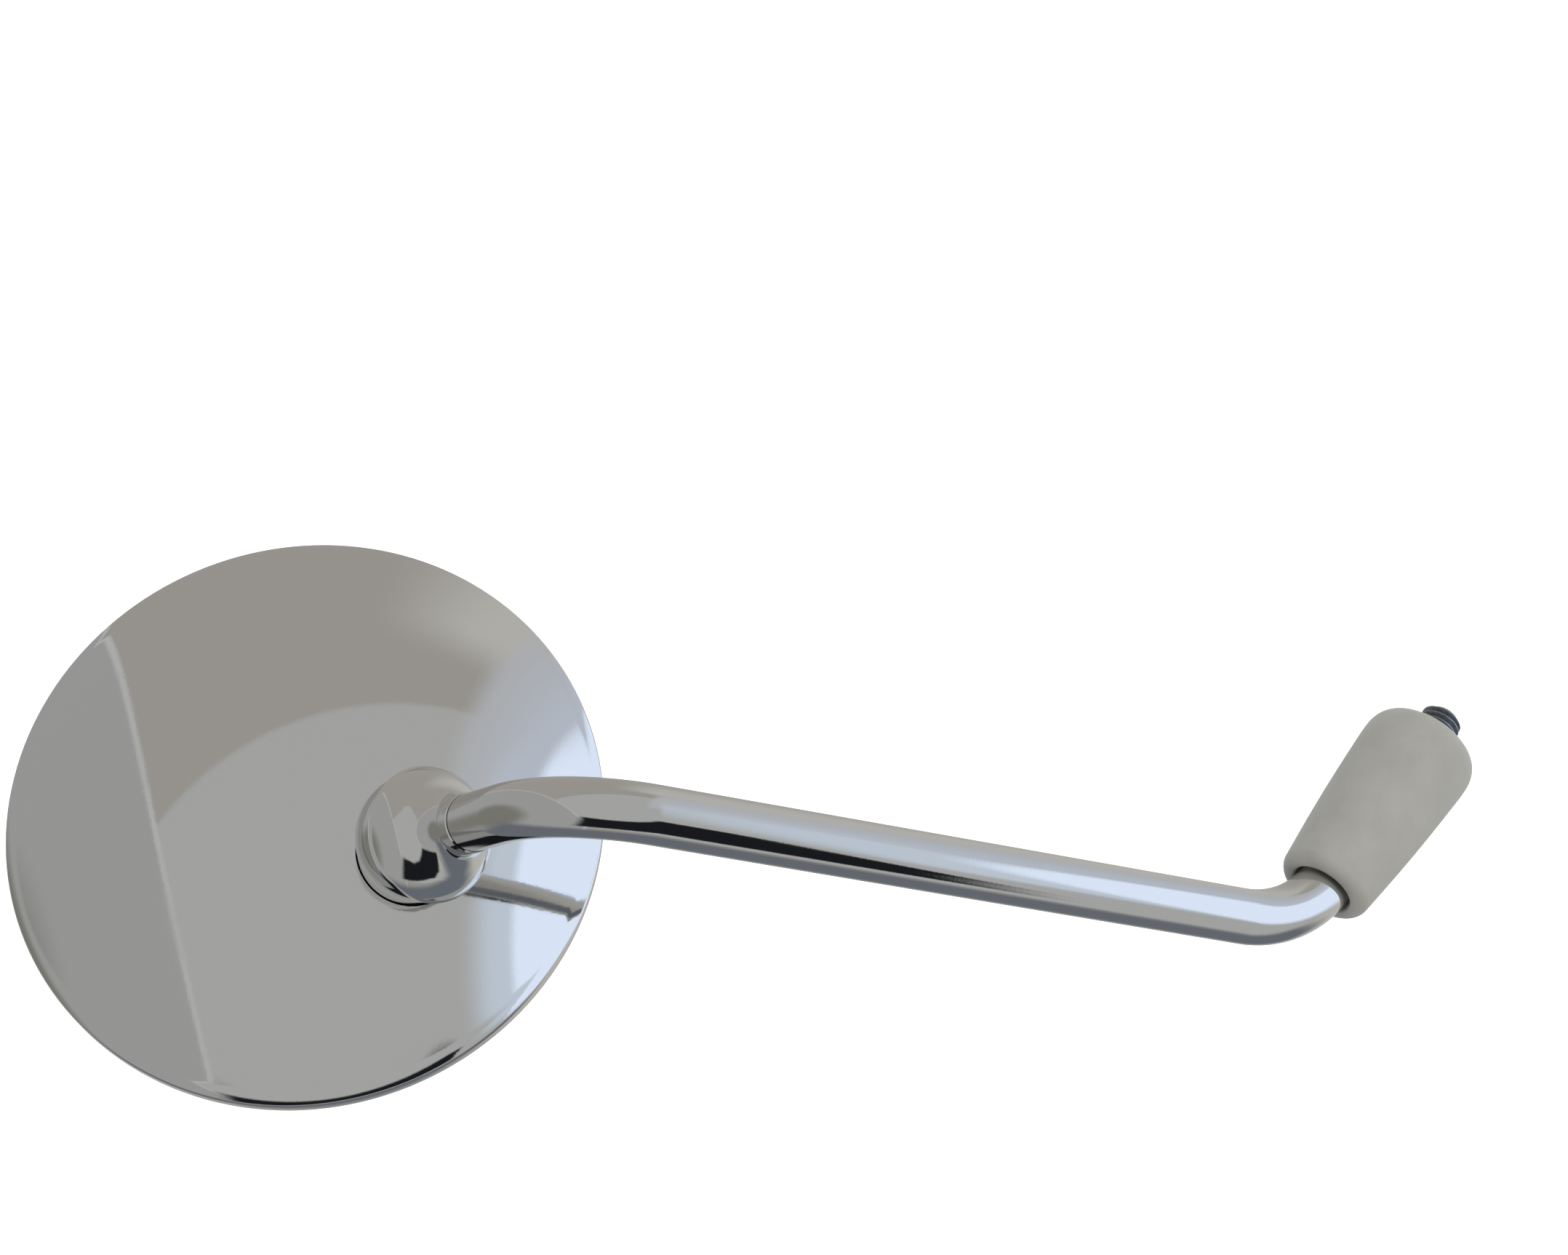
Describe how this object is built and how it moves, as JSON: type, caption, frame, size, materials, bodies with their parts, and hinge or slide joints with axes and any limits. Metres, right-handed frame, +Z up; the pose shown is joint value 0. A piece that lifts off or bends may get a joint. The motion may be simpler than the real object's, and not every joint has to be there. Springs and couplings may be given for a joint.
{
  "type": "motorcycle rear-view mirror",
  "caption": "Round convex rear-view mirror in a domed chrome shell, ball-jointed to a bent chrome stem with a threaded stud, lock nut and sliding rubber sleeve; left-hand side.",
  "frame": {"origin": "lower end of the stem tube on the stud's axis, where the threaded stud starts", "axes": "+Z up along the stud's axis towards the stem, with the stud pointing down -Z; the stem runs out and up to -X (the vehicle's left); -Y is rearwards, where the glass faces"},
  "size_m": [0.2017, 0.1085, 0.1999],
  "materials": {
    "chrome": "bright chrome plate",
    "zinc": "dull zinc plate",
    "spring_steel": "oiled spring steel",
    "grey_rubber": "matte warm grey rubber",
    "black_rubber": "satin black rubber",
    "nylon": "natural nylon",
    "foam": "dark closed-cell foam",
    "silvered_glass": "convex silvered glass"
  },
  "bodies": {
    "stem": {"stem_tube": "chrome", "threaded_stud": "zinc", "swivel_bell": "chrome", "swivel_bolt": "zinc", "swivel_nut": "zinc", "spring_plate": "zinc", "tension_spring": "spring_steel", "pressure_cup": "zinc"},
    "swivel_ring": {"swivel_ring": "nylon"},
    "friction_ring": {"friction_ring": "nylon"},
    "head": {"ball_base": "chrome", "reinforcing_plate": "zinc", "shell": "chrome", "bezel_ring": "chrome", "gasket": "black_rubber", "mirror_glass": "silvered_glass", "backing_pad": "foam"},
    "sleeve": {"rubber_sleeve": "grey_rubber"},
    "washers": {"plain_washer": "zinc", "spring_washer": "spring_steel"},
    "lock_nut": {"lock_nut": "zinc"}
  },
  "joints": [
    {"name": "head_turn", "type": "hinge", "parent": "stem", "child": "swivel_ring", "pos_m": [-0.12146, -0.0423, 0.12224], "axis": [0, 0, 1], "range_deg": [-36.5, 2]},
    {"name": "head_tip", "type": "hinge", "parent": "swivel_ring", "child": "friction_ring", "pos_m": [-0.12146, -0.0423, 0.12224], "axis": [0.9973, 0.0733, 0], "range_deg": [-31.5, 4.3]},
    {"name": "head_spin", "type": "hinge", "parent": "friction_ring", "child": "head", "pos_m": [-0.12146, -0.0423, 0.12224], "axis": [-0.0731, 0.9945, 0.0749], "continuous": true},
    {"name": "sleeve_slide", "type": "slide", "parent": "stem", "child": "sleeve", "axis": [0, 0, 1], "range_m": [-0.007, 0.001]},
    {"name": "nut_travel", "type": "slide", "parent": "stem", "child": "washers", "axis": [0, 0, -1], "range_m": [0, 0.008]},
    {"name": "nut_turn", "type": "hinge", "parent": "washers", "child": "lock_nut", "pos_m": [0, 0, -0.004], "axis": [0, 0, -1], "range_deg": [0, 2300]}
  ],
  "couplings": [
    {"joint": "nut_travel", "follows": "nut_turn", "m_per_rad": 0.00019894}
  ]
}
